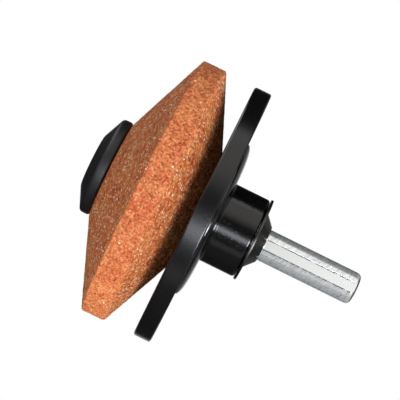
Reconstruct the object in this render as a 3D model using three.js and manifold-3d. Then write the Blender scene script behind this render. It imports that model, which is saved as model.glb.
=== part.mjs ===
// Garden tool sharpener for a power drill: a double-cone grinding stone clamped on a three-flat spindle,
// and a guide disc that turns freely behind it, held on by a star washer.
// Millimetres. +X runs along the spindle towards the drill and +Z is up.
// The origin is the centre of the shank's end face.
import * as THREE from "three";
import { mergeVertices } from "three/addons/utils/BufferGeometryUtils.js";
import Module from "manifold-3d";

// Grinding stone
const stoneRadius = 25;
const stoneRimWidth = 4.5;
const stoneHubRadius = 9.15;
const stoneFrontReach = 8.6; // from the middle of its rim to its front face
const stoneBackReach = 9.1; // from the middle of its rim to its back face
const stoneBoreRadius = 5;
const stoneRimRound = 0.7;

// Spindle: a round rod with a flat head inside the cap and three flats for the chuck's jaws
const spindleRadius = 3;
const spindleReach = 40.4; // from the middle of the stone's rim to the shank's end face
const spindleHeadRadius = 5;
const spindleHeadThickness = 1.2;
const spindleHeadRound = 0.3;
const shankEndRound = 0.9;
const shankFlatDepth = 0.2;
const shankFlatCount = 3;
const shankFlatSetback = 0.1; // between the star washer's prongs and the flats

// Clamped stack in front of the stone and behind it
const blotterThickness = 0.4;
const frontBlotterRadius = 7;
const frontWasherRadius = 7.2;
const frontWasherThickness = 1;
const rearBlotterRadius = 8.4;
const rearFlangeRadius = 8.4;
const rearFlangeThickness = 1;

// Moulded cap over the spindle's head
const capRadius = 9.2;
const capFaceRadius = 5;
const capSkirt = 1.85; // straight part of its side, behind the chamfer
const capWall = 0.9; // in front of the spindle's head
const capRound = 0.5;

// Journal that the guide turns on, and the two bushes in the guide's bore
const journalRadius = 4.9;
const thrustWasherRadius = 8;
const thrustWasherThickness = 0.45;
const bushWall = 1.1;
const bushLength = 3.6;

// Guide: a disc with a domed boss and a sleeve, in one moulding
const guideRimSet = 0.2; // how far its rim lies inside the stone's
const guidePlate = 3.35;
const guideEdgeRound = 0.35;
const guideRecessRadius = 12.5;
const guideRecessDepth = 3.2;
const guideBossRadius = 15;
const guideBossTopRadius = 10;
const guideBossStep = 0.2; // straight foot under the dome
const guideBossDome = 1.2;
const guideSleeveRadius = 7.65;
const guideSleeveLength = 6.85; // from the top of the boss
const guideSleeveRound = 0.5;
const guideRibHeight = 0.7; // between the two bushes

// Star washer: a flat rim and a cone of prongs that bite the spindle
const starRimRadius = 7.9;
const starThickness = 0.4;
const starConeRadius = 5.5;
const starConeDepth = 1.85; // from the back of the rim to the prongs' tips
const starProngCount = 6;
const starSlotWidth = 0.5;
const starSlotReach = 4.6;
const starTurn = THREE.MathUtils.degToRad(-14); // it is pressed on at any angle

// Clearances
const seatGap = 0.03; // between pieces that are clamped or pressed together
const slipFit = 0.05; // round each piece that slides over another
const runningFit = 0.08; // between the journal and its bushes
const endFloat = 0.15; // at each end of the guide
const capClearance = 0.1; // round the head and washer inside the cap
const overrun = 1; // how far each cut runs past what it cuts

// Fineness of the round surfaces
const largeRoundSides = 72;
const smallRoundSides = 48;
const filletSteps = 3;
const domeSteps = 7;
const sideShare = 0.5; // the most of a side that one fillet may take

// Stations along the spindle, counted from the middle of the stone's rim towards the drill
const stoneFront = -stoneFrontReach;
const frontBlotterFront = stoneFront - seatGap - blotterThickness;
const frontWasherFront = frontBlotterFront - seatGap - frontWasherThickness;
const headBack = frontWasherFront - seatGap;
const headFront = headBack - spindleHeadThickness;
const capFloor = headFront - capClearance;
const capFront = capFloor - capWall;
const capBack = stoneFront - seatGap;
const capShoulder = capBack - capSkirt;

const stoneBack = stoneBackReach;
const rearBlotterFront = stoneBack + seatGap;
const rearFlangeFront = rearBlotterFront + blotterThickness + seatGap;
const rearFlangeBack = rearFlangeFront + rearFlangeThickness;
const journalFront = rearFlangeBack + seatGap;
const thrustWasherBack = journalFront + thrustWasherThickness;

const guideRadius = stoneRadius - guideRimSet;
const guideFloor = thrustWasherBack + endFloat;
const guideFront = guideFloor - guideRecessDepth;
const guidePlateBack = guideFront + guidePlate;
const guideDomeFoot = guidePlateBack + guideBossStep;
const guideBossTop = guideDomeFoot + guideBossDome;
const guideSleeveEnd = guideBossTop + guideSleeveLength;
const bushRadius = journalRadius + runningFit + bushWall;
const guideBoreRadius = bushRadius + slipFit;
const guideRibRadius = guideBoreRadius - guideRibHeight;
const guideRibFront = guideFloor + bushLength + seatGap;
const guideRibBack = guideSleeveEnd - bushLength - seatGap;

const starFront = guideSleeveEnd + endFloat;
const starBack = starFront + starThickness;
const starTip = starBack + starConeDepth;
const starTipRadius = spindleRadius + slipFit;
const starConeInnerRadius = starConeRadius - starThickness / 2;
const starTipFront = starTip - starThickness;
const starInnerSlope = (starTipFront - starFront) / (starConeInnerRadius - starTipRadius);
const journalBack = starFront + (starConeInnerRadius - journalRadius) * starInnerSlope - seatGap;
const flatFront = starTip + shankFlatSetback;

// Finishes
const finishes = {
  plastic: new THREE.MeshStandardMaterial({ color: 0x232324, roughness: 0.42, metalness: 0 }),
  stone: new THREE.MeshStandardMaterial({ color: 0xc8753f, roughness: 0.95, metalness: 0 }),
  zinc: new THREE.MeshStandardMaterial({ color: 0xcfd3d4, roughness: 0.3, metalness: 1 }),
  springSteel: new THREE.MeshStandardMaterial({ color: 0x1c1b1a, roughness: 0.4, metalness: 0.6 }),
  fibre: new THREE.MeshStandardMaterial({ color: 0x9c8a6e, roughness: 0.9, metalness: 0 }),
  nylon: new THREE.MeshStandardMaterial({ color: 0xe3ddca, roughness: 0.5, metalness: 0 }),
  bronze: new THREE.MeshStandardMaterial({ color: 0xa87845, roughness: 0.5, metalness: 1 }),
};

const wasm = await Module();
wasm.setup();

// One corner of an outline as its arc: the fillet is tangent to both sides and takes at most a set share of each.
function filletArc(before, corner, after, radius) {
  const back = before.clone().sub(corner);
  const on = after.clone().sub(corner);
  const shortest = Math.min(back.length(), on.length());
  back.normalize();
  on.normalize();
  const halfAngle = Math.acos(back.dot(on)) / 2;
  const tangent = Math.min(radius / Math.tan(halfAngle), shortest * sideShare);
  const centreDistance = tangent / Math.cos(halfAngle);
  const centre = back.clone().add(on).normalize().multiplyScalar(centreDistance).add(corner);
  const start = back.clone().multiplyScalar(tangent).add(corner);
  const turn = Math.sign(on.cross(back)) * (Math.PI - 2 * halfAngle);
  return Array.from({ length: filletSteps + 1 }, (_, step) =>
    start.clone().rotateAround(centre, (turn * step) / filletSteps),
  );
}

// An outline of [station, radius, fillet] entries as points across (x) and along (y) the spindle.
function outlinePoints(outline) {
  const corners = outline.map(([station, radius]) => new THREE.Vector2(radius, station));
  const count = corners.length;
  return corners.flatMap((corner, index) => {
    const fillet = outline[index][2];
    if (!fillet) return [corner];
    return filletArc(corners[(index + count - 1) % count], corner, corners[(index + 1) % count], fillet);
  });
}

// Solid of revolution about the spindle. An outline that touches the axis starts and ends on it,
// and any other closes on itself.
function turnedGeometry(outline, sides) {
  const points = outlinePoints(outline);
  const onAxis = points[0].x === 0;
  const closed = onAxis ? points : [...points, points[0].clone()];
  return new THREE.LatheGeometry(closed, sides).rotateZ(-Math.PI / 2);
}

// A plain ring: a washer, bush or tube.
function ringOutline(front, back, innerRadius, outerRadius) {
  return [
    [front, innerRadius],
    [front, outerRadius],
    [back, outerRadius],
    [back, innerRadius],
  ];
}

function solidOf(geometry) {
  const bare = geometry.clone();
  bare.deleteAttribute("normal");
  bare.deleteAttribute("uv");
  const merged = mergeVertices(bare);
  const vertProperties = merged.attributes.position.array;
  const triVerts = new Uint32Array(merged.index.array);
  return new wasm.Manifold(new wasm.Mesh({ numProp: 3, vertProperties, triVerts }));
}

function geometryOf(solid) {
  const mesh = solid.getMesh();
  const geometry = new THREE.BufferGeometry();
  geometry.setAttribute("position", new THREE.BufferAttribute(mesh.vertProperties, mesh.numProp));
  geometry.setIndex(new THREE.BufferAttribute(mesh.triVerts, 1));
  geometry.computeVertexNormals();
  return geometry;
}

// The body less one cutter repeated round the spindle.
function cutRound(body, cutter, count) {
  let solid = solidOf(body);
  for (let index = 0; index < count; index += 1) {
    const copy = cutter.clone().rotateX((2 * Math.PI * index) / count);
    solid = solid.subtract(solidOf(copy));
  }
  return geometryOf(solid);
}

function piece(name, geometry, finish) {
  const mesh = new THREE.Mesh(geometry, finish);
  mesh.name = name;
  return mesh;
}

function grindingStone() {
  const halfRim = stoneRimWidth / 2;
  const outline = [
    [stoneFront, stoneBoreRadius],
    [stoneFront, stoneHubRadius],
    [-halfRim, stoneRadius, stoneRimRound],
    [halfRim, stoneRadius, stoneRimRound],
    [stoneBack, stoneHubRadius],
    [stoneBack, stoneBoreRadius],
  ];
  return piece("grinding_stone", turnedGeometry(outline, largeRoundSides), finishes.stone);
}

function stoneBush() {
  const outline = ringOutline(stoneFront, stoneBack, spindleRadius + slipFit, stoneBoreRadius - slipFit);
  return piece("stone_bush", turnedGeometry(outline, smallRoundSides), finishes.nylon);
}

function driveSpindle() {
  const outline = [
    [headFront, 0],
    [headFront, spindleHeadRadius, spindleHeadRound],
    [headBack, spindleHeadRadius],
    [headBack, spindleRadius],
    [spindleReach, spindleRadius, shankEndRound],
    [spindleReach, 0],
  ];
  const cutLength = spindleReach - flatFront + overrun;
  const cutDepth = shankFlatDepth + overrun;
  const cutter = new THREE.BoxGeometry(cutLength, cutDepth, 2 * spindleRadius);
  cutter.translate(flatFront + cutLength / 2, shankFlatDepth - spindleRadius - cutDepth / 2, 0);
  const rod = turnedGeometry(outline, smallRoundSides);
  return piece("drive_spindle", cutRound(rod, cutter, shankFlatCount), finishes.zinc);
}

function frontCap() {
  const washerPocket = frontWasherRadius + capClearance;
  const headPocket = spindleHeadRadius + capClearance;
  const pocketStep = frontWasherFront - capClearance;
  const outline = [
    [capFront, 0],
    [capFront, capFaceRadius, capRound],
    [capShoulder, capRadius, capRound],
    [capBack, capRadius, capRound],
    [capBack, washerPocket],
    [pocketStep, washerPocket],
    [pocketStep, headPocket],
    [capFloor, headPocket],
    [capFloor, 0],
  ];
  return piece("front_cap", turnedGeometry(outline, largeRoundSides), finishes.plastic);
}

// The washers and blotters clamped on each face of the stone
function clampedStack() {
  const bore = spindleRadius + slipFit;
  const rings = [
    ["front_washer", frontWasherFront, frontWasherThickness, frontWasherRadius, finishes.zinc],
    ["front_blotter", frontBlotterFront, blotterThickness, frontBlotterRadius, finishes.fibre],
    ["rear_blotter", rearBlotterFront, blotterThickness, rearBlotterRadius, finishes.fibre],
    ["rear_flange", rearFlangeFront, rearFlangeThickness, rearFlangeRadius, finishes.zinc],
  ];
  return rings.map(([name, front, thickness, radius, finish]) => {
    const outline = ringOutline(front, front + thickness, bore, radius);
    return piece(name, turnedGeometry(outline, smallRoundSides), finish);
  });
}

function spacerTube() {
  const outline = ringOutline(journalFront, journalBack, spindleRadius + slipFit, journalRadius);
  return piece("spacer_tube", turnedGeometry(outline, smallRoundSides), finishes.zinc);
}

function thrustWasher() {
  const outline = ringOutline(journalFront, thrustWasherBack, journalRadius + slipFit, thrustWasherRadius);
  return piece("thrust_washer", turnedGeometry(outline, smallRoundSides), finishes.nylon);
}

function starWasher() {
  const outline = [
    [starFront, starConeInnerRadius],
    [starFront, starRimRadius],
    [starBack, starRimRadius],
    [starBack, starConeRadius],
    [starTip, starTipRadius + starThickness],
    [starTipFront, starTipRadius],
  ];
  const slotLength = starTip - starBack + overrun;
  const slot = new THREE.BoxGeometry(slotLength, starSlotReach, starSlotWidth);
  slot.translate(starBack + slotLength / 2, -starSlotReach / 2, 0);
  slot.rotateX(starTurn);
  const blank = turnedGeometry(outline, smallRoundSides);
  return piece("star_washer", cutRound(blank, slot, starProngCount), finishes.springSteel);
}

function guideDisc() {
  const dome = Array.from({ length: domeSteps + 1 }, (_, step) => {
    const angle = (Math.PI * step) / (2 * domeSteps);
    const radius = guideBossTopRadius + (guideBossRadius - guideBossTopRadius) * Math.cos(angle);
    return [guideDomeFoot + guideBossDome * Math.sin(angle), radius];
  });
  const outline = [
    [guideFloor, guideBoreRadius],
    [guideFloor, guideRecessRadius],
    [guideFront, guideRecessRadius],
    [guideFront, guideRadius, guideEdgeRound],
    [guidePlateBack, guideRadius, guideEdgeRound],
    [guidePlateBack, guideBossRadius],
    ...dome,
    [guideBossTop, guideSleeveRadius],
    [guideSleeveEnd, guideSleeveRadius, guideSleeveRound],
    [guideSleeveEnd, guideBoreRadius],
    [guideRibBack, guideBoreRadius],
    [guideRibBack, guideRibRadius],
    [guideRibFront, guideRibRadius],
    [guideRibFront, guideBoreRadius],
  ];
  return piece("guide_disc", turnedGeometry(outline, largeRoundSides), finishes.plastic);
}

function guideBushes() {
  const fronts = { guide_bush_front: guideFloor, guide_bush_rear: guideRibBack + seatGap };
  return Object.entries(fronts).map(([name, front]) => {
    const outline = ringOutline(front, front + bushLength, journalRadius + runningFit, bushRadius);
    return piece(name, turnedGeometry(outline, smallRoundSides), finishes.bronze);
  });
}

// What turns with the drill
const spindleGroup = new THREE.Group();
spindleGroup.add(driveSpindle(), frontCap(), grindingStone(), stoneBush(), ...clampedStack());
spindleGroup.add(spacerTube(), thrustWasher(), starWasher());

// What stays still against the tool's back while the stone turns
const guideGroup = new THREE.Group();
guideGroup.add(guideDisc(), ...guideBushes());

const sharpener = new THREE.Group();
sharpener.add(spindleGroup, guideGroup);
sharpener.position.x = -spindleReach;

const part = new THREE.Group();
part.add(sharpener);

export default part;
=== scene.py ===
"""Dresses a drill-driven garden tool sharpener for its studio photograph.

The CAD frame gives every place and main size. The pieces that show are turned again here, finer than the
CAD solids, and the small parts inside keep their CAD shape and get a finish. Sizes in the classes are
millimetres, and every mesh is made in metres.
"""

import logging
import math
from dataclasses import dataclass, field
from enum import Enum
from typing import Any

import bmesh
import bpy
from mathutils import Matrix, Vector

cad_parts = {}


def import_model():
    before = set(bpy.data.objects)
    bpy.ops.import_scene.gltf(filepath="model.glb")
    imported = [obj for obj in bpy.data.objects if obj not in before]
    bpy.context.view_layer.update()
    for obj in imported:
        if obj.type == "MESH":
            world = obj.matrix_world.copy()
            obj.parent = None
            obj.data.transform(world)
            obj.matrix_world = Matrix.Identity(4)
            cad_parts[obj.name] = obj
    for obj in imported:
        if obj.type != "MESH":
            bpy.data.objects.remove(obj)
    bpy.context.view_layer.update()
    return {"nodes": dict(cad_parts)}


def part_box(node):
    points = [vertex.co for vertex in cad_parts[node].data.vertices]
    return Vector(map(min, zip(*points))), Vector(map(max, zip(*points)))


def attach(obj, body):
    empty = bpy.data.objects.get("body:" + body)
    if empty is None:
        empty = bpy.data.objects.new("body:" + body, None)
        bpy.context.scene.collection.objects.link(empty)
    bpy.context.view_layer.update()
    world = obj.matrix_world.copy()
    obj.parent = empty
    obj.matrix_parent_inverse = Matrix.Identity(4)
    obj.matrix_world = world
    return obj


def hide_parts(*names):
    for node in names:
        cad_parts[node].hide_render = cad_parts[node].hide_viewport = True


log = logging.getLogger("sharpener")

Piece = bpy.types.Object
Node = bpy.types.Node
Socket = bpy.types.NodeSocket
Feeds = dict[str | int | tuple[str, str], Any]
Pair = tuple[float, float]
Triple = tuple[float, float, float]
Rgba = tuple[float, float, float, float]
Grains = tuple[tuple[float, str], ...]

MM = 0.001
# Two outline corners closer than this are one.
SAME_PLACE_MM = 0.002
# From the stone's front face to the middle of its rim.
STONE_REACH_MM = 8.6
# The inputs of a Map Range node that take a band's two edges.
FROM = ("From Min", "From Max")
TO = ("To Min", "To Max")
# The middle of a chance colour, which a tilt or a wander is counted from.
HALF = Vector((0.5, 0.5, 0.5))


class Body(Enum):
    """The two CAD bodies."""

    SPINDLE = "spindle"
    GUIDE = "guide"


class Slot(Enum):
    """The record's material slots. Each new piece names one, and nothing here reads it."""

    ABRASIVE = "abrasive"
    BLACK_PLASTIC = "black_plastic"
    ZINC_STEEL = "zinc_steel"
    SPRING_STEEL = "spring_steel"


# Colour and nodes


def linear(code: str) -> Rgba:
    """Turns an sRGB hex colour into linear light.

    Args:
        code: six hex digits, such as "d98252".

    Returns:
        Red, green, blue and an alpha of 1.
    """
    channels = [int(code[start : start + 2], 16) / 255 for start in (0, 2, 4)]
    light = [c / 12.92 if c <= 0.04045 else ((c + 0.055) / 1.055) ** 2.4 for c in channels]
    return (light[0], light[1], light[2], 1.0)


def lamp(level: float | Triple) -> Rgba:
    """The linear colour of a light, from a grey level or from red, green and blue."""
    return (*level, 1.0) if isinstance(level, tuple) else (level, level, level, 1.0)


class Graph:
    """The node tree of a material or of the world."""

    def __init__(self, owner: bpy.types.Material | bpy.types.World) -> None:
        """Starts an empty tree.

        Args:
            owner: the material or world that holds it.
        """
        owner.use_nodes = True
        self.tree = owner.node_tree
        self.tree.nodes.clear()

    def feed(self, node: Node, inputs: Feeds) -> None:
        """Sets or links a node's inputs.

        Args:
            node: the node to feed.
            inputs: for each input named, a value, or the socket or the node to link. A node gives the
                first of its outputs in use. A tuple of names takes a tuple of these.
        """
        for names, given in inputs.items():
            for name, value in zip(names, given) if isinstance(names, tuple) else [(names, given)]:
                if isinstance(value, Node):
                    value = next(socket for socket in value.outputs if socket.enabled)
                if isinstance(value, Socket):
                    self.tree.links.new(value, node.inputs[name])
                else:
                    node.inputs[name].default_value = value

    def add(self, kind: str, inputs: Feeds | None = None, **settings: Any) -> Node:
        """Adds one node.

        Args:
            kind: the node's type after "ShaderNode", such as "Bump".
            inputs: what it is fed, as in feed.
            settings: the node's own properties.

        Returns:
            The new node.
        """
        node = self.tree.nodes.new("ShaderNode" + kind)
        for name, value in settings.items():
            setattr(node, name, value)
        self.feed(node, inputs or {})
        return node


def set_ramp(node: Node, stops: list[tuple[float, Rgba]], mode: str = "LINEAR") -> None:
    """Gives a colour ramp its stops.

    Args:
        node: the Color Ramp node.
        stops: position and linear colour of each stop, in rising order.
        mode: how the ramp runs between stops.
    """
    ramp = node.color_ramp
    ramp.interpolation = mode
    while len(ramp.elements) < len(stops):
        ramp.elements.new(1.0)
    for element, (position, colour) in zip(ramp.elements, stops):
        element.position = position
        element.color = colour


def pattern(place: Node | Socket, size_mm: float, **more: float) -> Feeds:
    """The inputs of a texture whose pattern has this size at these coordinates."""
    return {"Vector": place, "Scale": 1 / (size_mm * MM), **more}


def metres(band_mm: Pair) -> Pair:
    """A band's two edges, from millimetres."""
    return (band_mm[0] * MM, band_mm[1] * MM)


def out_from_spindle(graph: Graph, place: Socket) -> Node:
    """The node that gives how far out from the spindle's axis a place is, in metres."""
    across = graph.add("VectorMath", {0: place, 1: Vector((0, 1, 1))}, operation="MULTIPLY")
    return graph.add("VectorMath", {0: across}, operation="LENGTH")


# Finishes


@dataclass(frozen=True)
class Finish:
    """What every finish has: a name for the real material and its main surface values."""

    name: str
    roughness: float
    ior: float = 1.5
    metallic: float = 0.0
    matt: float = 0.0
    specular: float = 0.5

    def build(self) -> bpy.types.Material:
        """Makes the material.

        Returns:
            A node material ready for a slot.
        """
        material = bpy.data.materials.new(self.name)
        graph = Graph(material)
        values = {
            "Roughness": self.roughness,
            "Metallic": self.metallic,
            "Diffuse Roughness": self.matt,
            "Specular IOR Level": self.specular,
        }
        if self.metallic < 1:
            values["IOR"] = self.ior
        shader = graph.add("BsdfPrincipled", values)
        graph.add("OutputMaterial", {"Surface": shader})
        graph.feed(shader, self.dress(graph, graph.add("TexCoord").outputs["Object"]))
        log.info("finish: %s", self.name)
        return material

    def dress(self, graph: Graph, place: Socket) -> Feeds:
        """Makes the nodes that feed the Principled shader, in Object coordinates."""
        raise NotImplementedError

    @staticmethod
    def two_tones(graph: Graph, tones: tuple[str, str], share: Node, relief: Pair, height: Node) -> Feeds:
        """Dresses a plain surface in two close colours and a fine relief.

        Args:
            graph: the material's nodes.
            tones: the two colours, as sRGB hex.
            share: how much of the second shows.
            relief: its strength, and its height in millimetres.
            height: the pattern that it rises from.

        Returns:
            The nodes for Base Color and Normal.
        """
        mixed = {"Factor": share, "A": linear(tones[0]), "B": linear(tones[1])}
        raised = {"Strength": relief[0], "Distance": relief[1] * MM, "Height": height}
        return {
            "Base Color": graph.add("Mix", mixed, data_type="RGBA"),
            "Normal": graph.add("Bump", raised),
        }


@dataclass(frozen=True)
class BondedGrit(Finish):
    """Fused alumina grit in a fired clay bond: a matt orange mass of crystals, each its own shade, rosier
    and sandier in patches. The cones keep open pores, whose darkest grains are painted shade, and pale
    specks that are painted glints on glossier crystals, and the rim is rubbed smooth."""

    # Real grains are about 0.2 mm. They are drawn 0.26 to 0.56 mm wide, to show at the photo's scale.
    coarse_mm: float = 0.55
    open_mm: float = 0.3
    rubbed_mm: float = 0.26
    speck_mm: float = 0.56
    ragged_mm: float = 0.16
    ragged_reach_mm: float = 0.08
    patch_mm: float = 3.2
    patch_detail: float = 4.0
    patch_roughness: float = 0.65
    patch_band: Pair = (0.38, 0.62)
    rubbed_band_mm: Pair = (24.2, 24.75)
    coarse_share: float = 0.36
    patch_share: float = 0.3
    # How many cells hold a pale speck, a painted glint on a glossier crystal, how many of these the rim
    # has lost, how far out in its cell a speck reaches, and how much of that is solid.
    speck_share: float = 0.25
    speck_loss: float = 0.9
    speck_reach: float = 0.4
    speck_core: float = 0.7
    facet_tilt: float = 1.0
    speck_tilt: float = 0.6
    glint_roughness: float = 0.38
    coarse_grains: Grains = (
        (0.0, "a8481c"),
        (0.2, "cc6230"),
        (0.45, "de7c42"),
        (0.75, "ea9c60"),
    )
    rubbed_grains: Grains = (
        (0.0, "8c3a12"),
        (0.14, "b4592a"),
        (0.32, "d87a42"),
        (0.58, "ec8f54"),
        (0.8, "faac72"),
        (0.94, "ffce9c"),
    )
    # The cones' grains. The darkest of them are painted shade in the open pores.
    open_grains: Grains = (
        (0.0, "2e0e04"),
        (0.2, "7a300a"),
        (0.38, "c4591c"),
        (0.6, "f08c48"),
        (0.8, "ffb878"),
        (0.92, "ffe2b8"),
    )
    rosy: str = "c44e26"
    sandy: str = "eaa060"
    # The pale colour of the specks: a painted glint.
    painted_glint: str = "ffe4c4"

    def dress(self, graph: Graph, place: Socket) -> Feeds:
        """Makes ragged grains of three sizes, patches, pale specks of painted glint and a tilted face for
        every grain.

        Args:
            graph: the material's nodes.
            place: Object coordinates, in metres.

        Returns:
            The nodes for Base Color, Roughness and Normal.
        """
        chance = graph.add("TexNoise", pattern(place, self.ragged_mm)).outputs["Color"]
        centred = graph.add("VectorMath", {0: chance, 1: HALF}, operation="SUBTRACT")
        reach = Vector((1, 1, 1)) * self.ragged_reach_mm * MM
        ragged = graph.add("VectorMath", {0: centred, 1: reach, 2: place}, operation="MULTIPLY_ADD")
        out = out_from_spindle(graph, place)
        rubbed = graph.add("MapRange", {"Value": out, FROM: metres(self.rubbed_band_mm)})
        tints = []
        facets = []
        for size, grains in (
            (self.coarse_mm, self.coarse_grains),
            (self.open_mm, self.open_grains),
            (self.rubbed_mm, self.rubbed_grains),
        ):
            cells = graph.add("TexVoronoi", pattern(ragged, size))
            pick = graph.add("SeparateColor", {"Color": cells.outputs["Color"]})
            tint = graph.add("ValToRGB", {"Fac": pick})
            set_ramp(tint, [(at, linear(code)) for at, code in grains], "CONSTANT")
            tints.append(tint)
            facets.append(cells.outputs["Color"])
        coarse, stone, smooth = tints
        patches = pattern(place, self.patch_mm, Detail=self.patch_detail, Roughness=self.patch_roughness)
        mottle = graph.add("TexNoise", patches)
        patch = graph.add("MapRange", {"Value": mottle, FROM: self.patch_band})
        tones = {"Factor": patch, "A": linear(self.rosy), "B": linear(self.sandy)}
        bond = graph.add("Mix", tones, data_type="RGBA")
        specks, speck_facets = self.scatter(graph, ragged, rubbed)
        # Over the cone grains go the rim's grains, the coarse grains, the patches and the pale specks of
        # painted glint.
        for share, over in (
            (rubbed, smooth),
            (self.coarse_share, coarse),
            (self.patch_share, bond),
            (specks, linear(self.painted_glint)),
        ):
            stone = graph.add("Mix", {"Factor": share, "A": stone, "B": over}, data_type="RGBA")
        facet = facets[1]
        for share, over in ((rubbed, facets[2]), (specks, speck_facets)):
            facet = graph.add("Mix", {"Factor": share, "A": facet, "B": over}, data_type="RGBA")
        gloss = {"Value": specks, TO: (self.roughness, self.glint_roughness)}
        tilt = graph.add("MapRange", {"Value": specks, TO: (self.facet_tilt, self.speck_tilt)})
        lean = graph.add("VectorMath", {0: facet, 1: HALF}, operation="SUBTRACT")
        tipped = graph.add("VectorMath", {0: lean, "Scale": tilt}, operation="SCALE")
        skin = graph.add("NewGeometry").outputs["Normal"]
        faces = graph.add("VectorMath", {0: tipped, 1: skin}, operation="ADD")
        return {
            "Base Color": stone,
            "Roughness": graph.add("MapRange", gloss),
            "Normal": graph.add("VectorMath", {0: faces}, operation="NORMALIZE"),
        }

    def scatter(self, graph: Graph, place: Node, rubbed: Node) -> tuple[Node, Socket]:
        """Scatters the pale specks, painted glints on glossier crystals, fewer where the stone is rubbed.

        Args:
            graph: the material's nodes.
            place: ragged Object coordinates, in metres.
            rubbed: 0 on the cones and 1 on the rim.

        Returns:
            1 on a crystal and 0 between them, and a chance colour for each crystal.
        """
        cells = graph.add("TexVoronoi", pattern(place, self.speck_mm))
        pick = graph.add("SeparateColor", {"Color": cells.outputs["Color"]}).outputs["Blue"]
        limit = {0: rubbed, 1: self.speck_share * self.speck_loss, 2: 1 - self.speck_share}
        fewer = graph.add("Math", limit, operation="MULTIPLY_ADD")
        chosen = graph.add("Math", {0: pick, 1: fewer}, operation="GREATER_THAN")
        edge = (self.speck_reach, self.speck_reach * self.speck_core)
        spot = graph.add("MapRange", {"Value": cells, FROM: edge})
        specks = graph.add("Math", {0: chosen, 1: spot}, operation="MULTIPLY")
        return specks, cells.outputs["Color"]


@dataclass(frozen=True)
class MouldedPlastic(Finish):
    """Black ABS, injection moulded: near black and even, its gloss broken into specks by fine scuffs, and
    wavering where the moulding sank as it cooled."""

    colour: str = "09090a"
    dust: str = "101011"
    scuffed: float = 0.27
    # Real scuffs are about 0.1 mm wide, and are drawn at 0.36 mm so that they show.
    scuff_mm: float = 0.36
    scuff_detail: float = 1.0
    scuff_band: Pair = (0.54, 0.68)
    scuff_relief_mm: float = 0.014
    scuff_strength: float = 0.7
    sink_mm: float = 3.2
    sink_relief: Pair = (0.6, 0.03)
    worn_band_mm: Pair = (20.0, 24.0)
    worn_roughness: float = 0.0

    def dress(self, graph: Graph, place: Socket) -> Feeds:
        """Makes the scuffs, the sink and the duller rim that hands and blades rub.

        Args:
            graph: the material's nodes.
            place: Object coordinates, in metres.

        Returns:
            The nodes for Base Color, Roughness and Normal.
        """
        sink = graph.add("TexNoise", pattern(place, self.sink_mm))
        feeds = self.two_tones(graph, (self.colour, self.dust), sink, self.sink_relief, sink)
        scuffs = graph.add("TexNoise", pattern(place, self.scuff_mm, Detail=self.scuff_detail))
        glosses = (self.roughness, self.scuffed)
        polish = graph.add("MapRange", {"Value": scuffs, FROM: self.scuff_band, TO: glosses})
        rubbed = {"Value": out_from_spindle(graph, place), FROM: metres(self.worn_band_mm)}
        worn = graph.add("MapRange", {**rubbed, "To Max": self.worn_roughness})
        feeds["Roughness"] = graph.add("Math", {0: polish, 1: worn}, operation="MAXIMUM")
        raised = {
            "Strength": self.scuff_strength,
            "Distance": self.scuff_relief_mm * MM,
            "Height": scuffs,
            "Normal": feeds["Normal"],
        }
        feeds["Normal"] = graph.add("Bump", raised)
        return feeds


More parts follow.
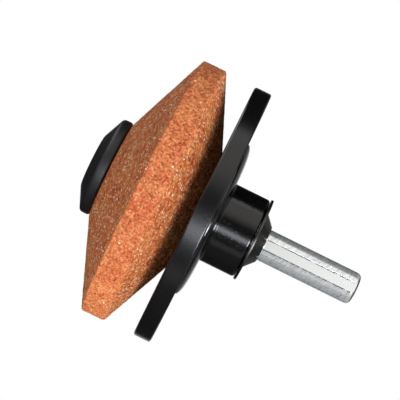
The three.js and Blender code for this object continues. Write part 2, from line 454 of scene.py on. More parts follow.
@dataclass(frozen=True)
class PlatedSteel(Finish):
    """Bright zinc on ground and milled steel: pale metal, faintly blue in its marks. Fine grinding marks run
    round the rod at a slant and break its reflections into streaks, and the flats are hazy. A dark, broken
    line of painted shade, for a milling burr's shadow, runs where a milled flat meets the round, and the
    rod's rounded end is darkened with painted shade."""

    colour: str = "f0f0ee"
    streak: str = "b6c0c6"
    milled: str = "eaeae4"
    # Painted shade along a flat's edge, for a milling burr's shadow.
    burr_shade: str = "4c5052"
    # Painted shade on the rod's rounded end.
    end_shade: str = "5e6061"
    # Real grinding marks are about 0.03 mm apart, and are drawn at 0.14 mm so that they show.
    streak_mm: float = 0.14
    streak_length: float = 8.0
    streak_turn_deg: float = 24.0
    streak_band: Pair = (0.45, 0.65)
    streak_relief_mm: float = 0.012
    cloud_mm: float = 0.5
    cloud_detail: float = 4.0
    cloud_roughness: float = 0.7
    cloud_relief_mm: float = 0.002
    cloud_strength: float = 0.5
    # The rod's radius, and how far from it the round skin's finish starts and is full.
    rod_mm: float = 3.0
    skin_band_mm: Pair = (-0.01, -0.002)
    flat_roughness: float = 0.3
    # How far out the painted shade line at a flat's edge starts and is full. The flat's edge is at the rod's
    # radius.
    burr_shade_band_mm: Pair = (2.915, 2.945)
    # The dashes that break the painted shade line.
    dash_mm: float = 0.7
    dash_detail: float = 3.0
    dash_band: Pair = (0.36, 0.5)
    end_mm: float = 0.9
    # Along the spindle, where the painted shade on the rod's rounded end starts and is full.
    end_shade_band_mm: Pair = (-0.42, -0.32)

    def dress(self, graph: Graph, place: Socket) -> Feeds:
        """Makes the marks round the rod, the haze on the flats, the painted shade lines along their edges and
        the painted shade on the rounded end.

        Args:
            graph: the material's nodes.
            place: Object coordinates, in metres.

        Returns:
            The nodes for Base Color, Roughness and Normal.
        """
        out = out_from_spindle(graph, place)
        along = graph.add("SeparateXYZ", {0: place})
        on_round = self.find_round(graph, out, along)
        slant = {
            "Vector": place,
            "Rotation": (0.0, math.radians(self.streak_turn_deg), 0.0),
            "Scale": (1.0, self.streak_length, self.streak_length),
        }
        slanted = graph.add("Mapping", slant, vector_type="TEXTURE")
        streaks = graph.add("TexNoise", pattern(slanted, self.streak_mm))
        marks = graph.add("Math", {0: streaks, 1: on_round}, operation="MULTIPLY")
        dashes = graph.add("TexNoise", pattern(place, self.dash_mm, Detail=self.dash_detail))
        # The grinding streaks, the painted shade line at the flats' edges, its dashes and the painted shade
        # on the rounded end.
        dull, burr_shade, broken, end_shade_mask = (
            graph.add("MapRange", {"Value": value, FROM: band})
            for value, band in (
                (marks, self.streak_band),
                (out, metres(self.burr_shade_band_mm)),
                (dashes, self.dash_band),
                (along, metres(self.end_shade_band_mm)),
            )
        )
        # The painted shade line stays on the flats, stops short of the rounded end, and is broken into
        # dashes.
        in_flat = graph.add("Math", {0: 1.0, 1: on_round}, operation="SUBTRACT")
        before_end = graph.add("Math", {0: along, 1: -self.end_mm * MM}, operation="LESS_THAN")
        for mask in (in_flat, before_end, broken):
            burr_shade = graph.add("Math", {0: burr_shade, 1: mask}, operation="MULTIPLY")
        metal = {"Factor": dull, "A": linear(self.colour), "B": linear(self.streak)}
        skin = linear(self.milled)
        # Over the flats go the round's metal, then the painted shade line and the painted shade on the
        # rounded end.
        for share, over in (
            (on_round, graph.add("Mix", metal, data_type="RGBA")),
            (burr_shade, linear(self.burr_shade)),
            (end_shade_mask, linear(self.end_shade)),
        ):
            skin = graph.add("Mix", {"Factor": share, "A": skin, "B": over}, data_type="RGBA")
        clouds = pattern(place, self.cloud_mm, Detail=self.cloud_detail, Roughness=self.cloud_roughness)
        pitted = {
            "Strength": self.cloud_strength,
            "Distance": self.cloud_relief_mm * MM,
            "Height": graph.add("TexNoise", clouds),
        }
        ground = {
            "Strength": 1.0,
            "Distance": self.streak_relief_mm * MM,
            "Height": marks,
            "Normal": graph.add("Bump", pitted),
        }
        haze = {"Value": on_round, TO: (self.flat_roughness, self.roughness)}
        return {
            "Base Color": skin,
            "Roughness": graph.add("MapRange", haze),
            "Normal": graph.add("Bump", ground),
        }

    def find_round(self, graph: Graph, out: Node, along: Node) -> Node:
        """Tells the rod's round skin, its rounded end included, from the milled flats.

        Args:
            graph: the material's nodes.
            out: the distance out from the spindle's axis.
            along: the place along it.

        Returns:
            The node that gives 1 on the round and 0 on a flat.
        """
        end = self.end_mm * MM
        past = graph.add("Math", {0: along, 1: end}, operation="ADD")
        into = graph.add("Math", {0: past, 1: 0.0}, operation="MAXIMUM")
        square = graph.add("Math", {0: into, 1: into}, operation="MULTIPLY")
        left = graph.add("Math", {0: end**2, 1: square}, operation="SUBTRACT")
        whole = graph.add("Math", {0: left, 1: 0.0}, operation="MAXIMUM")
        rise = graph.add("Math", {0: whole}, operation="SQRT")
        core = graph.add("Math", {0: out, 1: rise}, operation="SUBTRACT")
        start, full = (self.rod_mm - self.end_mm + edge for edge in self.skin_band_mm)
        return graph.add("MapRange", {"Value": core, FROM: metres((start, full))})


@dataclass(frozen=True)
class BlackenedSpring(Finish):
    """Spring steel, stamped, hardened and blackened in oil: near black with a soft metallic gleam, and brown
    where the black is thin over bent metal."""

    colour: str = "474746"
    thin: str = "5a5650"
    patch_mm: float = 0.9
    patch_detail: float = 3.0
    patch_band: Pair = (0.48, 0.68)
    # The real scale is about 0.02 mm, and is drawn at 0.12 mm so that it shows.
    grain_mm: float = 0.12
    relief: Pair = (0.5, 0.006)

    def dress(self, graph: Graph, place: Socket) -> Feeds:
        """Makes thin brown patches and a fine scale.

        Args:
            graph: the material's nodes.
            place: Object coordinates, in metres.

        Returns:
            The nodes for Base Color and Normal.
        """
        patches = graph.add("TexNoise", pattern(place, self.patch_mm, Detail=self.patch_detail))
        where = graph.add("MapRange", {"Value": patches, FROM: self.patch_band})
        scale = graph.add("TexNoise", pattern(place, self.grain_mm))
        return self.two_tones(graph, (self.colour, self.thin), where, self.relief, scale)


@dataclass(frozen=True)
class PressedFibre(Finish):
    """Vulcanised fibre sheet, pressed and punched: dull tan, with short dark and pale fibres that lie every
    way."""

    colour: str = "a08c6c"
    dark: str = "7c6a4f"
    # Real fibres are about 0.03 mm thick, and are drawn at 0.3 mm so that they show.
    fibre_mm: float = 0.3
    fibre_detail: float = 5.0
    tangle: float = 1.6
    relief: Pair = (0.6, 0.02)

    def dress(self, graph: Graph, place: Socket) -> Feeds:
        """Makes the fibres.

        Args:
            graph: the material's nodes.
            place: Object coordinates, in metres.

        Returns:
            The nodes for Base Color and Normal.
        """
        tangled = pattern(place, self.fibre_mm, Detail=self.fibre_detail, Distortion=self.tangle)
        fibres = graph.add("TexNoise", tangled)
        return self.two_tones(graph, (self.dark, self.colour), fibres, self.relief, fibres)


@dataclass(frozen=True)
class NaturalNylon(Finish):
    """Undyed nylon, injection moulded: milky cream and waxy, a little cloudy inside."""

    colour: str = "e6e0cf"
    cloud: str = "d8cfb6"
    cloud_mm: float = 1.5
    cloud_detail: float = 3.0
    relief: Pair = (0.5, 0.008)

    def dress(self, graph: Graph, place: Socket) -> Feeds:
        """Makes the clouds and a soft unevenness."""
        clouds = graph.add("TexNoise", pattern(place, self.cloud_mm, Detail=self.cloud_detail))
        return self.two_tones(graph, (self.colour, self.cloud), clouds, self.relief, clouds)


@dataclass(frozen=True)
class SinteredBronze(Finish):
    """Bronze powder, pressed, sintered and soaked in oil: brown metal with a dull sheen and open pores."""

    colour: str = "a9784a"
    pore: str = "5d3f26"
    # Real pores are about 0.05 mm wide, and are drawn 0.18 mm apart so that they show.
    pore_mm: float = 0.18
    pore_band: Pair = (0.1, 0.35)
    relief: Pair = (0.6, 0.02)

    def dress(self, graph: Graph, place: Socket) -> Feeds:
        """Makes the pores.

        Args:
            graph: the material's nodes.
            place: Object coordinates, in metres.

        Returns:
            The nodes for Base Color and Normal.
        """
        pores = graph.add("TexVoronoi", pattern(place, self.pore_mm))
        depth = graph.add("MapRange", {"Value": pores, FROM: self.pore_band})
        return self.two_tones(graph, (self.pore, self.colour), depth, self.relief, depth)


class Look(Enum):
    """The finishes that the pieces choose from."""

    GRIT = BondedGrit("alumina grit, bonded and fired", roughness=0.6, matt=1.0, specular=0.38)
    CAP_PLASTIC = MouldedPlastic(
        "ABS, moulded in a textured tool",
        roughness=0.46,
        scuffed=0.56,
        scuff_relief_mm=0.01,
        colour="121214",
        dust="18181b",
    )
    GUIDE_PLASTIC = MouldedPlastic("ABS, moulded in a polished tool", roughness=0.09, worn_roughness=0.22)
    ZINC = PlatedSteel("steel, bright zinc plated", roughness=0.21, metallic=0.6)
    SPRING = BlackenedSpring("spring steel, oil blackened", roughness=0.36, metallic=1.0)
    FIBRE = PressedFibre("vulcanised fibre, pressed", roughness=0.9)
    NYLON = NaturalNylon("nylon, moulded undyed", roughness=0.45, ior=1.53)
    BRONZE = SinteredBronze("bronze, sintered", roughness=0.5, metallic=1.0)

    def coat(self, piece: Piece) -> None:
        """Gives a piece this finish all over, and makes the material at its first use.

        Args:
            piece: the mesh object.
        """
        material = bpy.data.materials.get(self.value.name) or self.value.build()
        piece.data.materials.clear()
        piece.data.materials.append(material)


# Turned pieces


@dataclass(frozen=True)
class Corner:
    """One corner of a turned outline: how far along the spindle, how far out, and its fillet."""

    along: float
    out: float
    fillet: float = 0.0


def node_span(node: str) -> Triple:
    """A CAD node's front and back along the spindle and its outer radius, in millimetres."""
    low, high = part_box(node)
    return low.x / MM, high.x / MM, high.z / MM


def select_vertices(piece: Piece, places: list[Pair]) -> None:
    """Selects the outline's vertices at these places and no others.

    Args:
        piece: the outline, in edit mode.
        places: (along, out) in millimetres.
    """
    bpy.ops.mesh.select_mode(type="VERT")
    bpy.ops.mesh.select_all(action="DESELECT")
    mesh = bmesh.from_edit_mesh(piece.data)
    for vertex in mesh.verts:
        for along, out in places:
            offset = Vector((vertex.co.x / MM - along, vertex.co.z / MM - out))
            if offset.length < SAME_PLACE_MM:
                vertex.select = True
    mesh.select_flush(True)
    bmesh.update_edit_mesh(piece.data)


def select_object(piece: Piece) -> None:
    """Selects one object alone and makes it active.

    Args:
        piece: the object.
    """
    bpy.ops.object.select_all(action="DESELECT")
    piece.select_set(True)
    bpy.context.view_layer.objects.active = piece


def apply_modifier(piece: Piece, kind: str, **settings: Any) -> None:
    """Adds one modifier to a piece and applies it.

    Args:
        piece: the mesh object.
        kind: the modifier's type, such as "BEVEL".
        settings: its properties.
    """
    select_object(piece)
    modifier = piece.modifiers.new(kind.lower(), kind)
    for name, value in settings.items():
        setattr(modifier, name, value)
    bpy.ops.object.modifier_apply(modifier=modifier.name)


def cut_boxes(piece: Piece, count: int, first_deg: float, middle: Triple, size: Triple) -> None:
    """Cuts boxes out of a piece, evenly round the spindle.

    Args:
        piece: the mesh object.
        count: how many boxes.
        first_deg: how far the first is turned about the spindle, in degrees.
        middle: its middle before that turn, in millimetres.
        size: its length along X, Y and Z, in millimetres.
    """
    for index in range(count):
        turn = math.radians(first_deg) + 2 * math.pi * index / count
        bpy.ops.object.select_all(action="DESELECT")
        bpy.ops.mesh.primitive_cube_add(
            size=1,
            location=Matrix.Rotation(turn, 3, "X") @ (Vector(middle) * MM),
            rotation=(turn, 0, 0),
            scale=[side * MM for side in size],
        )
        cutter = bpy.context.object
        apply_modifier(piece, "BOOLEAN", object=cutter, operation="DIFFERENCE", solver="EXACT")
        bpy.data.objects.remove(cutter)


@dataclass
class TurnedPiece:
    """A piece of revolution about the spindle: its outline is drawn, its corners rounded, and it is spun.
    An outline that touches the axis starts and ends on it, and any other closes on itself."""

    name: str
    node: str
    body: Body
    slot: Slot
    look: Look
    sides: int = 192
    fillet_cuts: int = 4
    smooth_deg: float = 32.0
    # The longest step along the outline, or 0 to leave its sides whole.
    step: float = 0.0
    # How far out they stay whole all the same, because other pieces cover them.
    hidden: float = 0.0

    def corners(self) -> list[Corner]:
        """The outline's corners in order, from the front round the outside to the back."""
        raise NotImplementedError

    def work(self, piece: Piece) -> None:
        """Cuts or roughens what isn't round. A plain piece needs nothing."""

    def draw(self) -> Piece:
        """Draws the outline as a wire by extruding one vertex from corner to corner.

        Returns:
            The wire, in edit mode.
        """
        corners = self.corners()
        if corners[0].out > 0:
            corners = [*corners, corners[0]]
        first = corners[0]
        bpy.ops.object.select_all(action="DESELECT")
        bpy.ops.mesh.primitive_plane_add(size=MM, location=(0, 0, 0))
        piece = bpy.context.object
        piece.name = self.name
        piece.data.name = self.name
        bpy.ops.object.mode_set(mode="EDIT")
        bpy.ops.mesh.select_all(action="SELECT")
        bpy.ops.mesh.merge(type="CENTER")
        bpy.ops.transform.translate(value=(first.along * MM, 0, first.out * MM))
        for before, corner in zip(corners, corners[1:]):
            step = ((corner.along - before.along) * MM, 0, (corner.out - before.out) * MM)
            bpy.ops.mesh.extrude_region_move(TRANSFORM_OT_translate={"value": step})
        bpy.ops.mesh.select_all(action="SELECT")
        bpy.ops.mesh.remove_doubles(threshold=SAME_PLACE_MM * MM)
        return piece

    def round_corners(self, piece: Piece) -> None:
        """Bevels each corner that has a fillet.

        Args:
            piece: the wire, in edit mode.
        """
        for corner in self.corners():
            if corner.fillet > 0:
                select_vertices(piece, [(corner.along, corner.out)])
                bpy.ops.mesh.bevel(
                    offset_type="OFFSET",
                    offset=corner.fillet * MM,
                    segments=self.fillet_cuts,
                    affect="VERTICES",
                )

    def divide(self, piece: Piece) -> None:
        """Cuts the outline's long sides into short steps, so that the spun skin can take relief.

        Args:
            piece: the wire, in edit mode.
        """
        if self.step == 0:
            return
        edges = bmesh.from_edit_mesh(piece.data).edges
        sides = [tuple(v.co.copy() for v in edge.verts) for edge in edges]
        for start, end in sides:
            cuts = math.ceil((end - start).length / (self.step * MM)) - 1
            covered = max(start.z, end.z) <= self.hidden * MM
            if cuts < 1 or covered:
                continue
            select_vertices(piece, [(p.x / MM, p.z / MM) for p in (start, end)])
            bpy.ops.mesh.subdivide(number_cuts=cuts)

    def spin(self) -> None:
        """Turns the wire round the spindle and closes it."""
        bpy.ops.mesh.select_all(action="SELECT")
        bpy.ops.mesh.spin(steps=self.sides, angle=2 * math.pi, center=(0, 0, 0), axis=(1, 0, 0))
        bpy.ops.mesh.select_all(action="SELECT")
        bpy.ops.mesh.remove_doubles(threshold=SAME_PLACE_MM * MM)
        bpy.ops.mesh.normals_make_consistent(inside=False)
        bpy.ops.object.mode_set(mode="OBJECT")

    def build(self) -> None:
        """Makes the piece, dresses it and gives it its body."""
        piece = self.draw()
        self.round_corners(piece)
        self.divide(piece)
        self.spin()
        self.work(piece)
        select_object(piece)
        bpy.ops.object.shade_smooth_by_angle(angle=math.radians(self.smooth_deg))
        if self.step == 0:
            apply_modifier(piece, "WEIGHTED_NORMAL", mode="FACE_AREA", keep_sharp=True)
        self.look.coat(piece)
        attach(piece, self.body.value)
        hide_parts(self.node)
        log.info("%s: %d faces, stands for %s", self.name, len(piece.data.polygons), self.node)


@dataclass
class GrindingStone(TurnedPiece):
    """The double cone of bonded grit, with its rim and its worn, grainy skin."""

    # The hubs are as wide as what the cap and the flange cover.
    hidden: float = 9.15
    rim_width: float = 4.5
    bore_radius: float = 5.0
    front_round: float = 0.28
    back_round: float = 0.42
    hub_round: float = 0.3
    # Short enough for the grains to stand out of the skin.
    step: float = 0.26
    # For the grit and for the wear: the size of a bump, its depth, and the share of it pressed inwards.
    grit_relief: Triple = (0.14, 0.26, 0.78)
    wear_relief: Triple = (3.0, 0.06, 1.0)

    def corners(self) -> list[Corner]:
        """Lists the bore, the front hub, cone and rim, then the rear cone and hub.

        Returns:
            The outline's corners.
        """
        front, back, radius = node_span(self.node)
        middle = front + STONE_REACH_MM
        half_rim = self.rim_width / 2
        return [
            Corner(front, self.bore_radius),
            Corner(front, self.hidden, self.hub_round),
            Corner(middle - half_rim, radius, self.front_round),
            Corner(middle + half_rim, radius, self.back_round),
            Corner(back, self.hidden, self.hub_round),
            Corner(back, self.bore_radius),
        ]

    def work(self, piece: Piece) -> None:
        """Roughens the skin, mostly inwards, so that the stone keeps its size.

        Args:
            piece: the spun mesh.
        """
        for name, relief in (("grit relief", self.grit_relief), ("wear relief", self.wear_relief)):
            size, depth, level = relief
            texture = bpy.data.textures.new(name, type="CLOUDS")
            texture.noise_scale = size * MM
            apply_modifier(
                piece,
                "DISPLACE",
                texture=texture,
                texture_coords="LOCAL",
                mid_level=level,
                strength=depth * MM,
            )


@dataclass
class FrontCap(TurnedPiece):
    """The chamfered cap over the spindle's head, open behind."""

    face_radius: float = 5.0
    skirt: float = 1.85
    wall: float = 0.9
    face_round: float = 0.15
    edge_round: float = 0.5
    mouth_radius: float = 7.3
    mouth_depth: float = 1.53
    head_radius: float = 5.1

    def corners(self) -> list[Corner]:
        """Lists the face, chamfer and skirt, then the pocket from its mouth to its floor.

        Returns:
            The outline's corners.
        """
        front, back, radius = node_span(self.node)
        return [
            Corner(front, 0.0),
            Corner(front, self.face_radius, self.face_round),
            Corner(back - self.skirt, radius, self.edge_round),
            Corner(back, radius, self.edge_round),
            Corner(back, self.mouth_radius),
            Corner(back - self.mouth_depth, self.mouth_radius),
            Corner(back - self.mouth_depth, self.head_radius),
            Corner(front + self.wall, self.head_radius),
            Corner(front + self.wall, 0.0),
        ]


@dataclass
class GuideDisc(TurnedPiece):
    """The guide: plate, domed boss and sleeve in one moulding."""

    plate: float = 3.35
    recess_radius: float = 12.5
    recess_depth: float = 3.2
    boss_radius: float = 15.0
    boss_top_radius: float = 10.0
    boss_step: float = 0.2
    boss_dome: float = 1.2
    sleeve_radius: float = 7.65
    bore_radius: float = 6.13
    rib_radius: float = 5.43
    bush_length: float = 3.63
    front_round: float = 0.5
    edge_round: float = 0.35
    sleeve_round: float = 0.5
    root_round: float = 0.35
    dome_steps: int = 10

    def corners(self) -> list[Corner]:
        """Lists the recess, plate, dome and sleeve, then the bore with its rib.

        Returns:
            The outline's corners.
        """
        front, back, radius = node_span(self.node)
        floor = front + self.recess_depth
        plate_back = front + self.plate
        foot = plate_back + self.boss_step
        dome = []
        for step in range(self.dome_steps + 1):
            angle = math.pi / 2 * step / self.dome_steps
            out = self.boss_top_radius + (self.boss_radius - self.boss_top_radius) * math.cos(angle)
            dome.append(Corner(foot + self.boss_dome * math.sin(angle), out))
        return [
            Corner(floor, self.bore_radius),
            Corner(floor, self.recess_radius, self.root_round),
            Corner(front, self.recess_radius, self.front_round),
            Corner(front, radius, self.front_round),
            Corner(plate_back, radius, self.edge_round),
            Corner(plate_back, self.boss_radius),
            *dome,
            Corner(foot + self.boss_dome, self.sleeve_radius, self.root_round),
            Corner(back, self.sleeve_radius, self.sleeve_round),
            Corner(back, self.bore_radius),
            Corner(back - self.bush_length, self.bore_radius),
            Corner(back - self.bush_length, self.rib_radius),
            Corner(floor + self.bush_length, self.rib_radius),
            Corner(floor + self.bush_length, self.bore_radius),
        ]


@dataclass
class StarWasher(TurnedPiece):
    """The push-on star washer: a thin rim and a cone of prongs."""

    thickness: float = 0.4
    cone_radius: float = 5.5
    tip_radius: float = 3.05
    root_round: float = 0.12
    prongs: int = 6
    slot_width: float = 0.4
    slot_reach: float = 4.1
    turn_deg: float = -14.0
    edge: float = 0.05
    edge_cuts: int = 2
    edge_deg: float = 40.0

    def corners(self) -> list[Corner]:
        """Lists the rim, then the cone outside and inside.

        Returns:
            The outline's corners.
        """
        front, back, radius = node_span(self.node)
        rim_back = front + self.thickness
        return [
            Corner(front, self.cone_radius - self.thickness / 2),
            Corner(front, radius),
            Corner(rim_back, radius),
            Corner(rim_back, self.cone_radius, self.root_round),
            Corner(back, self.tip_radius + self.thickness),
            Corner(back - self.thickness, self.tip_radius),
        ]

    def work(self, piece: Piece) -> None:
        """Saws the slots between the prongs and breaks the stamped edges.

        Args:
            piece: the spun mesh.
        """
        front, back, _ = node_span(self.node)
        start = front + self.thickness
        # Twice the cone's length, so that the saw runs out behind it.
        length = (back - start) * 2
        middle = (start + length / 2, -self.slot_reach / 2, 0.0)
        size = (length, self.slot_reach, self.slot_width)
        cut_boxes(piece, self.prongs, self.turn_deg, middle, size)
        apply_modifier(
            piece,
            "BEVEL",
            width=self.edge * MM,
            segments=self.edge_cuts,
            limit_method="ANGLE",
            angle_limit=math.radians(self.edge_deg),
        )


@dataclass
class DriveSpindle(TurnedPiece):
    """The plated spindle: head, round rod and the shank's three flats."""

    radius: float = 3.0
    head_radius: float = 5.0
    head_thickness: float = 1.2
    head_round: float = 0.3
    end_round: float = 0.9
    flat_depth: float = 0.2
    flats: int = 3
    flat_start: float = 0.1
    overrun: float = 2.0

    def corners(self) -> list[Corner]:
        """Lists the head, the rod and its rounded end.

        Returns:
            The outline's corners.
        """
        front, back, _ = node_span(self.node)
        under_head = front + self.head_thickness
        return [
            Corner(front, 0.0),
            Corner(front, self.head_radius, self.head_round),
            Corner(under_head, self.head_radius),
            Corner(under_head, self.radius),
            Corner(back, self.radius, self.end_round),
            Corner(back, 0.0),
        ]

    def work(self, piece: Piece) -> None:
        """Mills the three flats, from just behind the star washer to past the end.

        Args:
            piece: the spun mesh.
        """
        _, back, _ = node_span(self.node)
        start = node_span("star_washer")[1] + self.flat_start
        length = back - start + self.overrun
        middle = (start + length / 2, self.flat_depth - self.radius - self.overrun / 2, 0.0)
        size = (length, self.overrun, 2 * self.radius)
        cut_boxes(piece, self.flats, 0.0, middle, size)


# What keeps its CAD shape


@dataclass
class InnerParts:
    """The small parts inside, which keep their CAD shape and get a finish."""

    looks: dict[Look, tuple[str, ...]] = field(
        default_factory=lambda: {
            Look.NYLON: ("stone_bush", "thrust_washer"),
            Look.ZINC: ("front_washer", "rear_flange", "spacer_tube"),
            Look.FIBRE: ("front_blotter", "rear_blotter"),
            Look.BRONZE: ("guide_bush_front", "guide_bush_rear"),
        }
    )

    def dress(self, nodes: dict[str, Piece]) -> None:
        """Gives each part its finish.

        Args:
            nodes: the CAD nodes by name.
        """
        for look, names in self.looks.items():
            for name in names:
                look.coat(nodes[name])
                log.info("%s: CAD shape, %s", name, look.value.name)


# Studio


# The wall that gloss reflects: the angle about the spindle in degrees, 0 level in front and 90 up, and its
# light there.
ROOM_WALL = [
    (-180, 0.02),
    (-145, 0.03),
    (-120, 0.04),
    (-102, 0.08),
    (-86, 0.13),
    (-72, 0.14),
    (-60, 0.54),
    (-54, 0.5),
    (-48, 0.13),
    (-40, 0.14),
    (-32, 0.2),
    (-28, (0.5, 0.52, 0.56)),
    (-24, (2.6, 2.7, 3.0)),
    (-20, (4.3, 4.45, 4.9)),
    (-15, (4.0, 4.1, 4.4)),
    (-10, (1.4, 1.44, 1.5)),
    (-6, 0.4),
    (-2, 0.12),
    (7, 0.05),
    (15, 0.1),
    (20, (0.38, 0.36, 0.34)),
    (28, (0.8, 0.76, 0.72)),
    (38, (1.12, 1.06, 1.0)),
    (52, (1.2, 1.14, 1.1)),
    (63, (1.06, 1.02, 1.0)),
    (70, 1.3),
    (77, 1.3),
    (82, 0.1),
    (88, 0.01),
    (180, 0.01),
]
# How much of that light is left towards the nose, -1, and towards the drill, 1.
ROOM_ENDS = [(-1.0, 0.9), (-0.88, 0.95), (-0.76, 1.0), (0.78, 1.0), (0.9, 0.9), (1.0, 0.8)]
# Cards that gloss sees before that wall: the light, and for each axis of the direction where the card
# starts and where it is full. One stands behind, one high at the nose, one behind on the drill's side.
ROOM_CARDS = [
    (0.9, {"Y": (0.93, 0.99)}),
    (3.0, {"X": (-0.48, -0.6), "Z": (0.46, 0.62)}),
    (0.28, {"X": (0.15, 0.35), "Y": (0.3, 0.5)}),
]
# The soft light on the object, in rings from the nose, 0, to the drill, 1.
ROOM_RINGS = [(0.0, 0.15), (0.16, 0.2), (0.22, 0.95), (0.35, 1.0)]
ROOM_RINGS += [(0.4, 0.03), (0.8, 0.03), (0.86, 1.0), (1.0, 0.9)]


@dataclass
class Room:
    """The room round the tool: white to the camera, rings of soft light on the object, and in gloss a banded
    wall with a narrow bright strip and light cards."""

    soft_level: float = 1.6
    behind_level: float = 0.22
    front_band: Pair = (0.4, -0.2)

    def reflected(self, graph: Graph, axes: Node, side: Node) -> Node:
        """Makes what gloss sees.

        Args:
            graph: the world's nodes.
            axes: the direction, split into X, Y and Z.
            side: 0 towards the nose and 1 towards the drill.

        Returns:
            The node that gives the light from that direction.
        """
        front = graph.add("Math", {0: axes.outputs["Y"], 1: -1.0}, operation="MULTIPLY")
        angle = graph.add("Math", {0: axes.outputs["Z"], 1: front}, operation="ARCTAN2")
        turn = graph.add("MapRange", {"Value": angle, FROM: (-math.pi, math.pi)})
        wall = graph.add("ValToRGB", {"Fac": turn})
        set_ramp(wall, [((degrees + 180) / 360, lamp(level)) for degrees, level in ROOM_WALL])
        ends = graph.add("ValToRGB", {"Fac": side})
        set_ramp(ends, [((across + 1) / 2, lamp(level)) for across, level in ROOM_ENDS])
        both = {"Factor": 1.0, "A": wall, "B": ends}
        walls = graph.add("Mix", both, data_type="RGBA", blend_type="MULTIPLY")
        cards = 0.0
        for level, edges in ROOM_CARDS:
            card = level
            for axis, band in edges.items():
                edge = graph.add("MapRange", {"Value": axes.outputs[axis], FROM: band})
                card = graph.add("Math", {0: card, 1: edge}, operation="MULTIPLY")
            cards = graph.add("Math", {0: cards, 1: card}, operation="MAXIMUM")
        lit = {"Factor": 1.0, "A": walls, "B": cards}
        return graph.add("Mix", lit, data_type="RGBA", blend_type="LIGHTEN")

    def paint(self) -> None:
        """Makes the world, with the wall for gloss, the rings for soft light, and white for the camera."""
        world = bpy.data.worlds.new("white room")
        bpy.context.scene.world = world
        graph = Graph(world)
        axes = graph.add("SeparateXYZ", {0: graph.add("TexCoord").outputs["Generated"]})
        side = graph.add("MapRange", {"Value": axes, FROM: (-1.0, 1.0)})
        gloss = graph.add("Background", {"Color": self.reflected(graph, axes, side)})
        rings = graph.add("ValToRGB", {"Fac": side})
        set_ramp(rings, [(across, lamp(level)) for across, level in ROOM_RINGS])
        limits = {"Value": axes.outputs["Y"], FROM: self.front_band}
        front = graph.add("MapRange", limits, interpolation_type="SMOOTHSTEP")
        lights = {"Factor": front, "A": lamp(self.behind_level), "B": rings}
        shed = graph.add("Mix", lights, data_type="RGBA")
        soft = graph.add("Background", {"Color": shed, "Strength": self.soft_level})
        white = graph.add("Background", {"Color": lamp(1.0)})
        ray = graph.add("LightPath").outputs
        through = {0: ray["Is Glossy Ray"], 1: ray["Is Transmission Ray"]}
        mirrored = graph.add("Math", through, operation="MAXIMUM")
        lit = graph.add("MixShader", {0: mirrored, 1: soft, 2: gloss})
        seen = graph.add("MixShader", {0: ray["Is Camera Ray"], 1: lit, 2: white})
        graph.add("OutputWorld", {"Surface": seen})


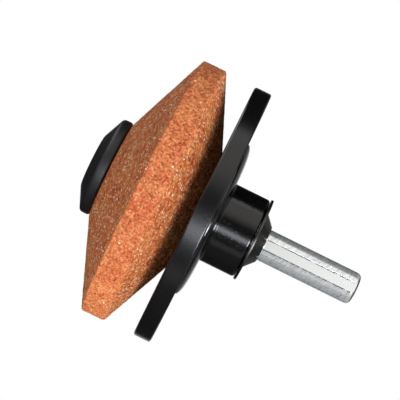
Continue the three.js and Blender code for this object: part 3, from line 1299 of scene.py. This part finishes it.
@dataclass
class Studio:
    """Camera, floor, lamp and room, for a side view of the tool hanging nose down to the left."""

    roll_deg: float = 26.3
    rise_deg: float = -3.9
    distance: float = 288.6
    field_mm: float = 72.15
    sensor_mm: float = 36.0
    aim_along: float = 8.13
    aim_up: float = 2.15
    floor_drop: float = 260.0
    floor_radius: float = 2000.0
    floor_sides: int = 96
    floor_fade: Pair = (150.0, 500.0)
    floor_card: str = "f2f2f0"
    floor_lift: float = 0.35
    key_size: float = 100.0
    key_distance: float = 400.0
    key_power: float = 1.1
    key_colour: str = "f6f9ff"
    key_tilt_deg: float = 21.0
    key_rise_deg: float = -20.0

    def middle(self) -> float:
        """The middle of the stone's rim along the spindle, in millimetres."""
        return node_span("grinding_stone")[0] + STONE_REACH_MM

    def place_camera(self) -> None:
        """Stands the camera square to the spindle, a little below it, and rolls it."""
        rise = math.radians(self.rise_deg)
        roll = math.radians(self.roll_deg)
        towards = Vector((0, -math.cos(rise), math.sin(rise)))
        upward = Vector((0, math.sin(rise), math.cos(rise)))
        along = Vector((1, 0, 0))
        right = math.cos(roll) * along + math.sin(roll) * upward
        up = math.cos(roll) * upward - math.sin(roll) * along
        aim = along * (self.middle() + self.aim_along) + upward * self.aim_up
        place = (aim + towards * self.distance) * MM
        turn = Matrix((right, up, towards)).transposed()
        bpy.ops.object.camera_add(location=place, rotation=turn.to_euler())
        camera = bpy.context.object
        camera.data.sensor_width = self.sensor_mm
        camera.data.lens = self.sensor_mm * self.distance / self.field_mm
        camera.data.clip_start = MM
        bpy.context.scene.camera = camera

    def lay_floor(self) -> None:
        """Lays a pale floor under the hanging tool. It keeps the shadow and fades into the white room."""
        bpy.ops.object.select_all(action="DESELECT")
        centre = (self.middle() * MM, 0, -self.floor_drop * MM)
        bpy.ops.mesh.primitive_circle_add(
            vertices=self.floor_sides, radius=self.floor_radius * MM, fill_type="NGON", location=centre
        )
        floor = bpy.context.object
        floor.name = "studio_floor"
        bpy.ops.object.transform_apply(location=True, rotation=False, scale=False)
        material = bpy.data.materials.new("studio floor, white card")
        graph = Graph(material)
        card = graph.add("BsdfDiffuse", {"Color": linear(self.floor_card)})
        lift = graph.add("Emission", {"Color": lamp(1.0), "Strength": self.floor_lift})
        lifted = graph.add("AddShader", {0: card, 1: lift})
        white = graph.add("Emission", {"Color": lamp(1.0), "Strength": 1.0})
        place = graph.add("TexCoord").outputs["Object"]
        away = graph.add("VectorMath", {0: place, 1: Vector(centre)}, operation="DISTANCE")
        limits = {"Value": away, FROM: metres(self.floor_fade)}
        fade = graph.add("MapRange", limits, interpolation_type="SMOOTHSTEP")
        shown = graph.add("MixShader", {0: fade, 1: lifted, 2: white})
        to_camera = graph.add("LightPath").outputs["Is Camera Ray"]
        viewed = graph.add("MixShader", {0: to_camera, 1: card, 2: shown})
        graph.add("OutputMaterial", {"Surface": viewed})
        floor.data.materials.append(material)
        floor.visible_glossy = False

    def hang_key(self) -> None:
        """Hangs the one softbox near the camera, low and towards the drill's side."""
        rise = math.radians(self.key_rise_deg)
        tilt = math.radians(self.key_tilt_deg)
        level = math.cos(tilt)
        towards = Vector((math.sin(tilt), -level * math.cos(rise), level * math.sin(rise)))
        place = (Vector((self.middle(), 0, 0)) + towards * self.key_distance) * MM
        turn = towards.to_track_quat("Z", "Y").to_euler()
        bpy.ops.object.light_add(type="AREA", location=place, rotation=turn)
        key = bpy.context.object
        key.name = "key softbox"
        key.data.shape = "SQUARE"
        key.data.size = self.key_size * MM
        key.data.energy = self.key_power
        key.data.color = linear(self.key_colour)[:3]
        key.visible_camera = False

    def build(self) -> None:
        """Sets up the whole studio and the plain colour view."""
        self.place_camera()
        self.lay_floor()
        self.hang_key()
        Room().paint()
        bpy.context.scene.view_settings.view_transform = "Standard"
        log.info("studio: camera, floor, key softbox and room")


def main() -> None:
    """Builds the studio, the pieces and their finishes."""
    logging.basicConfig(level=logging.INFO, format="%(name)s: %(message)s")
    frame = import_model()
    Studio().build()
    stone = GrindingStone(
        "grit_stone", "grinding_stone", Body.SPINDLE, Slot.ABRASIVE, Look.GRIT, sides=600, smooth_deg=80.0
    )
    cap = FrontCap("nose_cap", "front_cap", Body.SPINDLE, Slot.BLACK_PLASTIC, Look.CAP_PLASTIC)
    guide = GuideDisc(
        "guide_moulding", "guide_disc", Body.GUIDE, Slot.BLACK_PLASTIC, Look.GUIDE_PLASTIC, sides=256
    )
    washer = StarWasher(
        "prong_washer", "star_washer", Body.SPINDLE, Slot.SPRING_STEEL, Look.SPRING, sides=144
    )
    spindle = DriveSpindle(
        "plated_spindle", "drive_spindle", Body.SPINDLE, Slot.ZINC_STEEL, Look.ZINC, sides=128, smooth_deg=8.0
    )
    for piece in (stone, cap, guide, washer, spindle):
        piece.build()
    InnerParts().dress(frame["nodes"])


if __name__ == "__main__":
    main()
